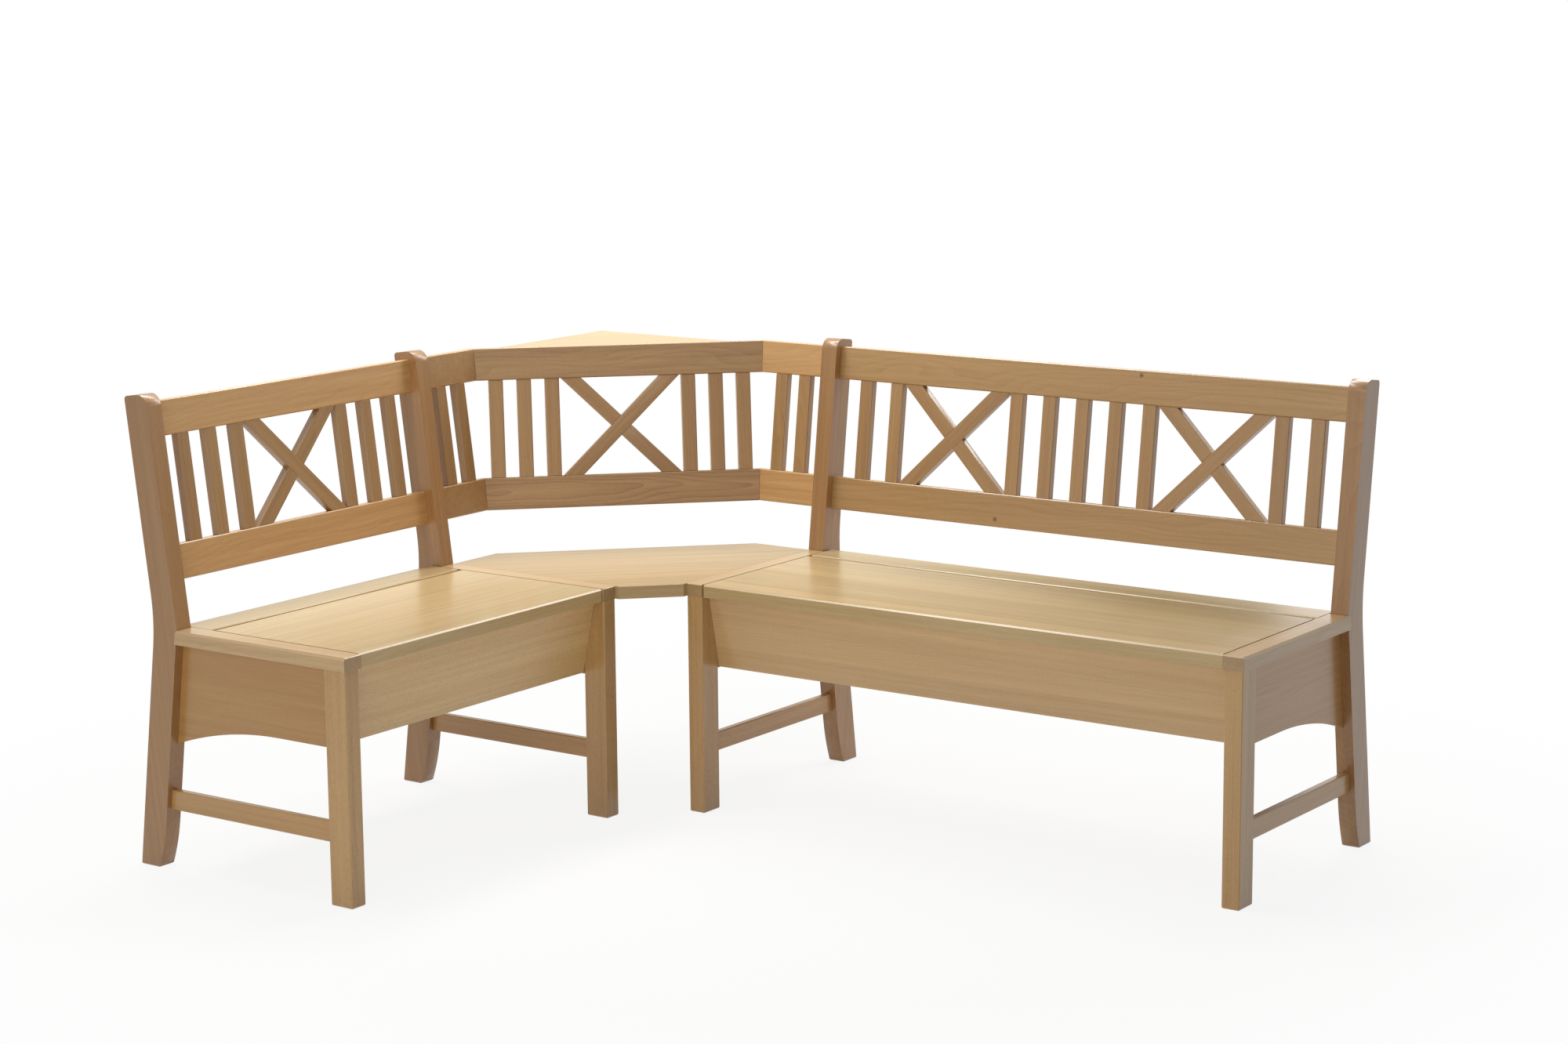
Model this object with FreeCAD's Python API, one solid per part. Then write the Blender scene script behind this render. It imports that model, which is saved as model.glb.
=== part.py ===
import FreeCAD, Part
import math
import os

# Corner storage bench: two chest benches at right angles and a legless corner unit.
# Bench frame while modelling: the wall corner is the origin, X runs along the long bench,
# depth is measured from the wall towards the room (depth = -Y), Z is up from the floor.

# Overall sizes
long_bench_end = 1807.0
short_bench_end = 1370.0
seat_height = 450.0
seat_front_depth = 522.0
post_top_length = 425.0

# Rear posts: one piece, leaning back above the seat and swept back to the foot below it
post_width = 35.0
post_rake_deg = 7.4
post_foot_depth = 46.0
post_low_depth = 57.0
post_high_depth = 54.0
post_ankle_height = 46.0
post_ankle_radius = 380.0
post_knee_rise = 2.0
post_knee_radius = 380.0
post_nose_radius = 22.0
post_back_radius = 7.0

# Front legs, of the same stock as the posts
leg_depth = 50.0
leg_tenon_width = 18.0
leg_tenon_depth = 30.0
leg_tenon_height = 12.0

# Seat caps over the legs and side panels
cap_thickness = 25.0
cap_outer_overhang = 5.0
cap_inner_overhang = 3.0
cap_front_overhang = 4.0
cap_bevel = 4.0
cap_tenon_width = 15.0
cap_tenon_height = 12.0
cap_tenon_length = 10.0

# Side panels with the swept lower edge
panel_thickness = 17.0
panel_bottom_height = 279.0
panel_sweep_depth = 340.0
panel_heel_height = 234.0
tongue_thickness = 6.0
tongue_length = 6.0
tongue_inset = 6.0

# Side stretchers
stretcher_thickness = 15.0
stretcher_bottom_height = 111.0
stretcher_height = 37.0
stretcher_tenon_thickness = 9.0
stretcher_tenon_height = 27.0
stretcher_tenon_length = 20.0

# Chest boards
front_panel_thickness = 20.0
front_panel_top_depth = 500.0
front_panel_bottom_depth = 470.0
front_panel_bottom_height = 281.0
rear_panel_depth = 88.0
rear_panel_thickness = 16.0
cleat_size = 18.0
cleat_bottom_rise = 3.0
floor_thickness = 8.0
floor_clearance = 0.5

# Seat boards
lid_rear_depth = 162.0
lid_front_setback = 2.0
lid_side_gap = 3.0
lid_bevel = 3.0
strip_end_gap = 2.0
strip_lid_gap = 2.0
strip_bevel = 2.0
batten_width = 45.0
batten_thickness = 18.0
batten_rear_depth = 215.0
batten_front_depth = 470.0
batten_end_distance = 160.0
batten_end_bevel = 6.0
screw_shank_radius = 2.0
screw_head_radius = 4.0
screw_head_height = 2.5
screw_length = 32.0
screws_per_batten = 2
screw_edge_distance = 30.0

# Lid pivots: a fixed steel pin at each rear corner of a lid, with a washer in the side gap
pin_radius = 4.0
pin_cap_length = 18.0
pin_lid_length = 22.0
pin_fixed_clearance = 0.02
pin_running_clearance = 0.08
washer_radius = 7.0
washer_thickness = 2.6

# Backrests
rail_setback = 19.0
rail_thickness = 22.0
rail_height = 65.0
rail_drop = 15.0
lower_rail_rise = 84.0
rail_tenon_thickness = 10.0
rail_tenon_height = 45.0
rail_tenon_length = 14.0
rail_bevel = 2.0
slat_width = 29.0
slat_thickness = 17.0
slat_setback = 1.5
slat_end_gap = 49.0
slat_tenon_width = 24.0
slat_tenon_thickness = 8.0
slat_tenon_length = 12.0
cross_bay_width = 248.0
cross_bar_width = 28.5
cross_bar_margin = 4.0
long_slat_groups = [2, 5, 2]
short_slat_groups = [3, 3]

# Corner unit
corner_wall_offset = 312.0
corner_side_length = 178.765
corner_seat_tuck = 1.5
corner_seat_nose = 10.0
corner_end_gap = 37.5
corner_slat_gap = 27.5
corner_end_slats = 2
corner_middle_slats = 3
bearer_width = 42.0
bearer_height = 25.0
bearer_rear_depth = 130.0
bearer_front_depth = 460.0
shelf_drop = 8.0
shelf_thickness = 18.0
shelf_wall_gap = 20.0
shelf_corner_reach = 440.0
shelf_cleat_size = 20.0
shelf_cleat_length = 420.0

# Finish and fit
edge_bevel = 1.5
foot_bevel = 2.0
joint_clearance = 0.2
pick_tolerance = 0.01
far = 1500.0

# Worked out from the sizes above
rake = math.radians(post_rake_deg)
leg_width = post_width
cap_bottom = seat_height - cap_thickness
knee_height = seat_height + post_knee_rise
knee_depth = knee_height * math.tan(rake) + post_low_depth
leg_rear_depth = seat_front_depth - leg_depth
cap_front_depth = seat_front_depth + cap_front_overhang
pivot_radius = cap_thickness / 2
pivot_depth = lid_rear_depth + pivot_radius
pivot_height = seat_height - pivot_radius
strip_front_depth = lid_rear_depth - strip_lid_gap
top_rail_top = post_top_length - rail_drop
top_rail_bottom = top_rail_top - rail_height
lower_rail_top = lower_rail_rise + rail_height
rail_middle = rail_setback + rail_thickness / 2
slat_middle = rail_setback + slat_setback + slat_thickness / 2
mitre_start = corner_wall_offset * math.sqrt(2)
corner_width = mitre_start + corner_side_length
mitre_slope = math.tan(math.radians(22.5))


def post_front_depth(height):
    """Depth of the straight lower front face of a rear post."""
    return height * math.tan(rake) + post_low_depth


def leaning_point(inset, rise):
    """Depth and height of a point in the leaning back, from the front knee of the post."""
    depth = knee_depth - rise * math.sin(rake) - inset * math.cos(rake)
    height = knee_height + rise * math.cos(rake) - inset * math.sin(rake)
    return depth, height


def corner_vectors(points):
    """Turn (depth, height) pairs into points of the plane X = 0."""
    return [FreeCAD.Vector(0, -depth, height) for depth, height in points]


def rounded_wire(points, radii):
    """Closed outline through points, each corner rounded by its radius, or sharp at 0."""
    edges = []
    last = None
    first = None
    count = len(points)
    for i in range(count):
        corner = points[i]
        before = (points[i - 1] - corner).normalize()
        after = (points[(i + 1) % count] - corner).normalize()
        if radii[i] > 0:
            half = before.getAngle(after) / 2
            reach = radii[i] / math.tan(half)
            start = corner + before * reach
            end = corner + after * reach
            bisector = (before + after).normalize()
            middle = corner + bisector * (radii[i] / math.sin(half) - radii[i])
            arc = Part.Arc(start, middle, end).toShape()
        else:
            start = corner
            end = corner
            arc = None
        if last is None:
            first = start
        else:
            edges.append(Part.makeLine(last, start))
        if arc is not None:
            edges.append(arc)
        last = end
    edges.append(Part.makeLine(last, first))
    return Part.Wire(edges)


def side_prism(points, x_start, x_end, radii=None):
    """Extrude a (depth, height) outline along the bench, from x_start to x_end."""
    if radii is None:
        radii = [0] * len(points)
    wire = rounded_wire(corner_vectors(points), radii)
    solid = Part.Face(wire).extrude(FreeCAD.Vector(x_end - x_start, 0, 0))
    solid.translate(FreeCAD.Vector(x_start, 0, 0))
    return solid


def board(x_start, x_end, depth_start, depth_end, z_start, z_end):
    """Square-cornered board between two depths."""
    corner = FreeCAD.Vector(x_start, -depth_end, z_start)
    return Part.makeBox(x_end - x_start, depth_end - depth_start, z_end - z_start, corner)


def flat_box(x_start, x_end, inset_start, inset_end, rise_start, rise_end):
    """Box in the flat layout of a backrest, before it leans."""
    corner = FreeCAD.Vector(x_start, inset_start, rise_start)
    return Part.makeBox(x_end - x_start, inset_end - inset_start, rise_end - rise_start, corner)


def lean(shape):
    """Tip a flat backrest piece back and set it on the knee of the posts."""
    shape.rotate(FreeCAD.Vector(0, 0, 0), FreeCAD.Vector(1, 0, 0), -post_rake_deg)
    shape.translate(FreeCAD.Vector(0, -knee_depth, knee_height))
    return shape


def bevel(shape, size, wanted):
    """Bevel the straight edges that the test picks by their middle and direction."""
    edges = []
    for edge in shape.Edges:
        ends = edge.Vertexes
        if len(ends) < 2:
            continue
        direction = (ends[1].Point - ends[0].Point).normalize()
        middle = (ends[1].Point + ends[0].Point) / 2
        if wanted(middle, direction):
            edges.append(edge)
    return shape.makeChamfer(size, edges)


def along_x(direction):
    return abs(direction.x) > 0.999


def along_z(direction):
    return abs(direction.z) > 0.999


def rear_post(x_start, mortises):
    """S-shaped rear post with its mortises cut."""
    top_back = leaning_point(post_high_depth, post_top_length)
    top_front = leaning_point(0, post_top_length)
    back_line = knee_depth + knee_height * math.tan(rake) - post_high_depth / math.cos(rake)
    knee_back_height = back_line / (2 * math.tan(rake))
    outline = [
        (0, 0),
        (knee_back_height * math.tan(rake), knee_back_height),
        top_back,
        top_front,
        (knee_depth, knee_height),
        (post_front_depth(post_ankle_height), post_ankle_height),
        (post_foot_depth, 0),
    ]
    radii = [0, post_knee_radius, post_back_radius, post_nose_radius, 0, post_ankle_radius, 0]
    post = side_prism(outline, x_start, x_start + post_width, radii)
    post = bevel(post, foot_bevel, lambda middle, way: middle.z < pick_tolerance)
    for mortise in mortises:
        post = post.cut(mortise)
    return post


def front_leg(x_start, mortises):
    """Square front leg with a stub tenon into the seat cap."""
    leg = board(x_start, x_start + leg_width, leg_rear_depth, seat_front_depth, 0, cap_bottom)
    leg = bevel(leg, edge_bevel, lambda middle, way: along_z(way))
    leg = bevel(leg, foot_bevel, lambda middle, way: middle.z < pick_tolerance)
    leg = leg.fuse(leg_tenon(x_start, 0))
    for mortise in mortises:
        leg = leg.cut(mortise)
    return leg


def leg_tenon(x_start, clearance):
    """Tenon on top of a leg, or with a clearance its mortise in the cap."""
    middle_x = x_start + leg_width / 2
    middle_depth = seat_front_depth - leg_depth / 2
    half_width = leg_tenon_width / 2 + clearance
    half_depth = leg_tenon_depth / 2 + clearance
    top = cap_bottom + leg_tenon_height + clearance
    return board(middle_x - half_width, middle_x + half_width,
                 middle_depth - half_depth, middle_depth + half_depth, cap_bottom, top)


def cap_tenon(x_start, clearance):
    """Stub tenon from the rear end of a cap into the post."""
    middle_x = x_start + post_width / 2
    half_width = cap_tenon_width / 2 + clearance
    half_height = cap_tenon_height / 2 + clearance
    middle_z = seat_height - cap_thickness / 2
    depth = post_front_depth(middle_z)
    return board(middle_x - half_width, middle_x + half_width, depth - cap_tenon_length - clearance,
                 depth + cap_tenon_length, middle_z - half_height, middle_z + half_height)


def seat_cap(x_start, x_end, front_depth, post_x, outer):
    """Rail along the end of the seat, tenoned into the post and seated on the leg."""
    outline = [
        (post_front_depth(cap_bottom), cap_bottom),
        (front_depth, cap_bottom),
        (front_depth, seat_height),
        (post_front_depth(seat_height), seat_height),
    ]
    cap = side_prism(outline, x_start, x_end)
    if outer:
        cap = bevel(cap, cap_bevel, lambda middle, way: middle.z > seat_height - pick_tolerance
                    and middle.x > x_end - pick_tolerance)
    cap = bevel(cap, edge_bevel, lambda middle, way: middle.z > seat_height - pick_tolerance
                and middle.y < pick_tolerance - front_depth)
    cap = cap.fuse(cap_tenon(post_x, 0))
    cap = cap.cut(leg_tenon(post_x, joint_clearance))
    return cap.cut(pivot_hole(x_start if outer else x_end - pin_cap_length))


def pivot_hole(x_start):
    """Blind hole for the pivot pin, open on the cap's face towards the lid."""
    centre = FreeCAD.Vector(x_start, -pivot_depth, pivot_height)
    radius = pin_radius + pin_fixed_clearance
    return Part.makeCylinder(radius, pin_cap_length, centre, FreeCAD.Vector(1, 0, 0))


def panel_tongue(x_start, rear, clearance):
    """Tongue on one upright edge of a side panel, or with a clearance its groove."""
    middle_x = x_start + panel_thickness / 2
    half = tongue_thickness / 2 + clearance
    reach = tongue_length + clearance
    top = cap_bottom - tongue_inset
    if rear:
        bottom = panel_heel_height + tongue_inset
        outline = [
            (post_front_depth(bottom) - reach, bottom),
            (post_front_depth(bottom) + reach, bottom),
            (post_front_depth(top) + reach, top),
            (post_front_depth(top) - reach, top),
        ]
    else:
        bottom = panel_bottom_height + tongue_inset
        outline = [
            (leg_rear_depth - reach, bottom),
            (leg_rear_depth + reach, bottom),
            (leg_rear_depth + reach, top),
            (leg_rear_depth - reach, top),
        ]
    return side_prism(outline, middle_x - half, middle_x + half)


def side_panel(x_start):
    """End board of a chest: level towards the leg, sweeping down towards the post."""
    heel = FreeCAD.Vector(0, -post_front_depth(panel_heel_height), panel_heel_height)
    sweep = FreeCAD.Vector(0, -panel_sweep_depth, panel_bottom_height)
    run = sweep.y - heel.y
    drop = sweep.z - heel.z
    radius = (run * run + drop * drop) / (2 * drop)
    angle = math.asin(-run / radius) / 2
    middle = FreeCAD.Vector(0, sweep.y + radius * math.sin(angle), sweep.z - radius * (1 - math.cos(angle)))
    corners = corner_vectors([
        (leg_rear_depth, panel_bottom_height),
        (leg_rear_depth, cap_bottom),
        (post_front_depth(cap_bottom), cap_bottom),
    ])
    edges = [
        Part.Arc(heel, middle, sweep).toShape(),
        Part.makeLine(sweep, corners[0]),
        Part.makeLine(corners[0], corners[1]),
        Part.makeLine(corners[1], corners[2]),
        Part.makeLine(corners[2], heel),
    ]
    panel = Part.Face(Part.Wire(edges)).extrude(FreeCAD.Vector(panel_thickness, 0, 0))
    panel.translate(FreeCAD.Vector(x_start, 0, 0))
    panel = panel.fuse(panel_tongue(x_start, True, 0))
    return panel.fuse(panel_tongue(x_start, False, 0))


def stretcher_tenon(x_start, clearance):
    """Through-line of both tenons of a side stretcher, or with a clearance their mortises."""
    middle_x = x_start + leg_width / 2
    middle_z = stretcher_bottom_height + stretcher_height / 2
    half_width = stretcher_tenon_thickness / 2 + clearance
    half_height = stretcher_tenon_height / 2 + clearance
    rear = post_front_depth(middle_z) - stretcher_tenon_length - clearance
    front = leg_rear_depth + stretcher_tenon_length + clearance
    return board(middle_x - half_width, middle_x + half_width, rear, front,
                 middle_z - half_height, middle_z + half_height)


def stretcher(x_start):
    """Low side rail between the front leg and the rear post."""
    inset = (leg_width - stretcher_thickness) / 2
    top = stretcher_bottom_height + stretcher_height
    outline = [
        (post_front_depth(stretcher_bottom_height), stretcher_bottom_height),
        (leg_rear_depth, stretcher_bottom_height),
        (leg_rear_depth, top),
        (post_front_depth(top), top),
    ]
    rail = side_prism(outline, x_start + inset, x_start + inset + stretcher_thickness)
    rail = bevel(rail, edge_bevel, lambda middle, way: abs(way.y) > 0.999)
    return rail.fuse(stretcher_tenon(x_start, 0))


def front_panel_inner_depth(height):
    """Depth of the sloping inner face of the front panel."""
    slope = (front_panel_top_depth - front_panel_bottom_depth) / (cap_bottom - front_panel_bottom_height)
    lean_angle = math.atan(slope)
    outer = front_panel_bottom_depth + (height - front_panel_bottom_height) * slope
    return outer - front_panel_thickness / math.cos(lean_angle)


def front_panel(x_start, x_end):
    """Front board of a chest, sloping in towards its lower edge."""
    outline = [
        (front_panel_inner_depth(front_panel_bottom_height), front_panel_bottom_height),
        (front_panel_bottom_depth, front_panel_bottom_height),
        (front_panel_top_depth, cap_bottom),
        (front_panel_inner_depth(cap_bottom), cap_bottom),
    ]
    return side_prism(outline, x_start, x_end)


def floor_cleats(x_start, x_end):
    """Four strips round the chest that carry its floor."""
    bottom = front_panel_bottom_height + cleat_bottom_rise
    top = bottom + cleat_size
    rear = rear_panel_depth + rear_panel_thickness
    front = front_panel_inner_depth(bottom)
    front_outline = [
        (front - cleat_size, bottom),
        (front, bottom),
        (front_panel_inner_depth(top), top),
        (front - cleat_size, top),
    ]
    cleats = [side_prism(front_outline, x_start, x_end)]
    cleats.append(board(x_start, x_end, rear, rear + cleat_size, bottom, top))
    for x in (x_start, x_end - cleat_size):
        cleats.append(board(x, x + cleat_size, rear + cleat_size, front - cleat_size, bottom, top))
    return Part.makeCompound(cleats)


def chest_floor(x_start, x_end):
    """Thin floor board dropped onto the cleats."""
    bottom = front_panel_bottom_height + cleat_bottom_rise + cleat_size
    rear = rear_panel_depth + rear_panel_thickness + floor_clearance
    front = front_panel_inner_depth(bottom) - floor_clearance
    return board(x_start + floor_clearance, x_end - floor_clearance, rear, front,
                 bottom, bottom + floor_thickness)


def screw_hole(centre):
    """Clearance hole round the shank of a screw whose head bears on the face at centre."""
    radius = screw_shank_radius + joint_clearance
    return Part.makeCylinder(radius, screw_length + joint_clearance, centre, FreeCAD.Vector(0, 0, 1))


def screw(centre):
    """Flat-headed wood screw driven up from the face at centre."""
    up = FreeCAD.Vector(0, 0, 1)
    shank = Part.makeCylinder(screw_shank_radius, screw_length, centre, up)
    head_base = centre - up * screw_head_height
    return shank.fuse(Part.makeCylinder(screw_head_radius, screw_head_height, head_base, up))


def batten_starts(lid_start, lid_end):
    """Left sides of the two battens under a lid."""
    return (lid_start + batten_end_distance, lid_end - batten_end_distance - batten_width)


def screw_centres(lid_start, lid_end):
    """Places on the undersides of the battens where the screws are driven."""
    centres = []
    bottom = cap_bottom - batten_thickness
    reach = batten_front_depth - batten_rear_depth - 2 * screw_edge_distance
    for start in batten_starts(lid_start, lid_end):
        for i in range(screws_per_batten):
            depth = batten_rear_depth + screw_edge_distance + reach * i / (screws_per_batten - 1)
            centres.append(FreeCAD.Vector(start + batten_width / 2, -depth, bottom))
    return centres


def cut_screw_holes(shape, lid_start, lid_end):
    """Bore the holes of the lid's screws into a batten or the lid."""
    for centre in screw_centres(lid_start, lid_end):
        shape = shape.cut(screw_hole(centre))
    return shape


def lid_battens(lid_start, lid_end):
    """Two battens under the lid, with bevelled ends."""
    battens = []
    bottom = cap_bottom - batten_thickness
    for start in batten_starts(lid_start, lid_end):
        batten = board(start, start + batten_width, batten_rear_depth, batten_front_depth,
                       bottom, cap_bottom)
        batten = bevel(batten, batten_end_bevel, lambda middle, way: middle.z < bottom + pick_tolerance
                       and along_x(way))
        battens.append(cut_screw_holes(batten, lid_start, lid_end))
    return Part.makeCompound(battens)


def seat_lid(lid_start, lid_end):
    """Lid with a rear edge rounded about the pivot and a bevelled front edge."""
    front = seat_front_depth - lid_front_setback
    points = corner_vectors([
        (pivot_depth, seat_height),
        (front, seat_height),
        (front, cap_bottom),
        (pivot_depth, cap_bottom),
    ])
    back = FreeCAD.Vector(0, -lid_rear_depth, pivot_height)
    edges = [Part.makeLine(points[i], points[i + 1]) for i in range(3)]
    edges.append(Part.Arc(points[3], back, points[0]).toShape())
    lid = Part.Face(Part.Wire(edges)).extrude(FreeCAD.Vector(lid_end - lid_start, 0, 0))
    lid.translate(FreeCAD.Vector(lid_start, 0, 0))
    lid = bevel(lid, lid_bevel, lambda middle, way: along_x(way)
                and middle.z > seat_height - pick_tolerance and middle.y < pick_tolerance - front)
    radius = pin_radius + pin_running_clearance
    for x in (lid_start, lid_end - pin_lid_length):
        centre = FreeCAD.Vector(x, -pivot_depth, pivot_height)
        lid = lid.cut(Part.makeCylinder(radius, pin_lid_length, centre, FreeCAD.Vector(1, 0, 0)))
    return cut_screw_holes(lid, lid_start, lid_end)


def pivot_pins(lid_start, lid_end):
    """Steel pins held in the caps, on which the lid turns."""
    length = pin_cap_length + lid_side_gap + pin_lid_length
    pins = []
    for x in (lid_start - lid_side_gap - pin_cap_length, lid_end - pin_lid_length):
        centre = FreeCAD.Vector(x, -pivot_depth, pivot_height)
        pins.append(Part.makeCylinder(pin_radius, length, centre, FreeCAD.Vector(1, 0, 0)))
    return pins


def pivot_washers(lid_start, lid_end):
    """Washers on the pins, against the caps."""
    washers = []
    for x in (lid_start - lid_side_gap, lid_end + lid_side_gap - washer_thickness):
        centre = FreeCAD.Vector(x, -pivot_depth, pivot_height)
        way = FreeCAD.Vector(1, 0, 0)
        ring = Part.makeCylinder(washer_radius, washer_thickness, centre, way)
        hole = Part.makeCylinder(pin_radius + pin_running_clearance, washer_thickness, centre, way)
        washers.append(ring.cut(hole))
    return washers


def rear_strip(x_start, x_end):
    """Fixed seat board behind the lid, passing between the rear posts."""
    strip = board(x_start, x_end, rear_panel_depth, strip_front_depth, cap_bottom, seat_height)
    return bevel(strip, strip_bevel, lambda middle, way: along_x(way)
                 and middle.z > seat_height - pick_tolerance)


def slat_layout(x_start, x_end, groups):
    """Centres of the slats, and of the crossed bays between groups of slats."""
    slats = sum(groups)
    bays = len(groups) - 1
    gaps = slats - len(groups)
    free = x_end - x_start - 2 * slat_end_gap - slats * slat_width - bays * cross_bay_width
    gap = free / gaps
    slat_centres = []
    bay_centres = []
    x = x_start + slat_end_gap
    for number, group in enumerate(groups):
        for i in range(group):
            slat_centres.append(x + slat_width / 2)
            x += slat_width + gap
        x -= gap
        if number < bays:
            bay_centres.append(x + cross_bay_width / 2)
            x += cross_bay_width
    return slat_centres, bay_centres


def cross_bar_run():
    """Run of a cross bar's centre line and its width along the rail, fitted into a bay."""
    height = top_rail_bottom - lower_rail_top
    width = cross_bay_width - 2 * cross_bar_margin
    ratio = (cross_bar_width / height) ** 2
    root = math.sqrt(width ** 2 - (1 - ratio) * (width ** 2 - ratio * height ** 2))
    run = (width - root) / (1 - ratio)
    return run, width - run


def stub_tenon(centre, at_top, clearance):
    """Stub tenon of a slat or cross bar, or with a clearance its mortise in the rail."""
    half_width = slat_tenon_width / 2 + clearance
    half_thick = slat_tenon_thickness / 2 + clearance
    reach = slat_tenon_length + clearance
    if at_top:
        low, high = top_rail_bottom, top_rail_bottom + reach
    else:
        low, high = lower_rail_top - reach, lower_rail_top
    return flat_box(centre - half_width, centre + half_width,
                    slat_middle - half_thick, slat_middle + half_thick, low, high)


def slat(centre):
    """Upright slat with a stub tenon at each end."""
    half_thick = slat_thickness / 2
    piece = flat_box(centre - slat_width / 2, centre + slat_width / 2,
                     slat_middle - half_thick, slat_middle + half_thick, lower_rail_top, top_rail_bottom)
    piece = bevel(piece, edge_bevel, lambda middle, way: along_z(way))
    piece = piece.fuse(stub_tenon(centre, True, 0))
    return piece.fuse(stub_tenon(centre, False, 0))


def bar_prism(centre, rising, inset_start, inset_end):
    """Slanting bar across a bay, between two insets."""
    run, width = cross_bar_run()
    way = 1 if rising else -1
    low = centre - way * run / 2
    high = centre + way * run / 2
    points = [
        FreeCAD.Vector(low - width / 2, inset_start, lower_rail_top),
        FreeCAD.Vector(low + width / 2, inset_start, lower_rail_top),
        FreeCAD.Vector(high + width / 2, inset_start, top_rail_bottom),
        FreeCAD.Vector(high - width / 2, inset_start, top_rail_bottom),
    ]
    face = Part.Face(Part.makePolygon(points + [points[0]]))
    return face.extrude(FreeCAD.Vector(0, inset_end - inset_start, 0))


def cross_bar(centre, rising):
    """Cross bar halved over the other one; the rising bar keeps its front half."""
    front = slat_middle - slat_thickness / 2
    back = slat_middle + slat_thickness / 2
    bar = bar_prism(centre, rising, front, back)
    if rising:
        bar = bar.cut(bar_prism(centre, False, slat_middle, back))
    else:
        bar = bar.cut(bar_prism(centre, True, front, slat_middle))
    for x, at_top in bar_ends(centre, rising):
        bar = bar.fuse(stub_tenon(x, at_top, 0))
    return bar


def bar_ends(centre, rising):
    """Places along the rails where a cross bar is tenoned."""
    run = cross_bar_run()[0]
    way = 1 if rising else -1
    return [(centre - way * run / 2, False), (centre + way * run / 2, True)]


def rail_tenon(x, at_right, rise, clearance):
    """Tenon on one end of a rail, or with a clearance its mortise in the post."""
    half_thick = rail_tenon_thickness / 2 + clearance
    reach = rail_tenon_length + clearance
    start, end = (x, x + reach) if at_right else (x - reach, x)
    low = rise + (rail_height - rail_tenon_height) / 2 - clearance
    high = rise + (rail_height + rail_tenon_height) / 2 + clearance
    return flat_box(start, end, rail_middle - half_thick, rail_middle + half_thick, low, high)


def plain_rail(x_start, x_end, rise):
    """Rail blank with eased long edges."""
    rail = flat_box(x_start, x_end, rail_setback, rail_setback + rail_thickness, rise, rise + rail_height)
    return bevel(rail, rail_bevel, lambda middle, way: along_x(way))


def cut_rail_mortises(rail, slat_centres, bay_centres, at_top):
    """Cut the mortises of the slats and cross bars into a rail."""
    for centre in slat_centres:
        rail = rail.cut(stub_tenon(centre, at_top, joint_clearance))
    for centre in bay_centres:
        for rising in (True, False):
            for x, bar_at_top in bar_ends(centre, rising):
                if bar_at_top == at_top:
                    rail = rail.cut(stub_tenon(x, at_top, joint_clearance))
    return rail


def post_mortises(x_start, corner_side):
    """Everything let into a rear post: rails, cap, side panel and stretcher."""
    cuts = [cap_tenon(x_start, joint_clearance), stretcher_tenon(x_start, joint_clearance)]
    for rise in (lower_rail_rise, top_rail_bottom):
        if corner_side:
            cuts.append(lean(rail_tenon(x_start + post_width, False, rise, joint_clearance)))
            cuts.append(lean(rail_tenon(x_start, True, rise, joint_clearance)))
        else:
            cuts.append(lean(rail_tenon(x_start, True, rise, joint_clearance)))
    return cuts


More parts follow.
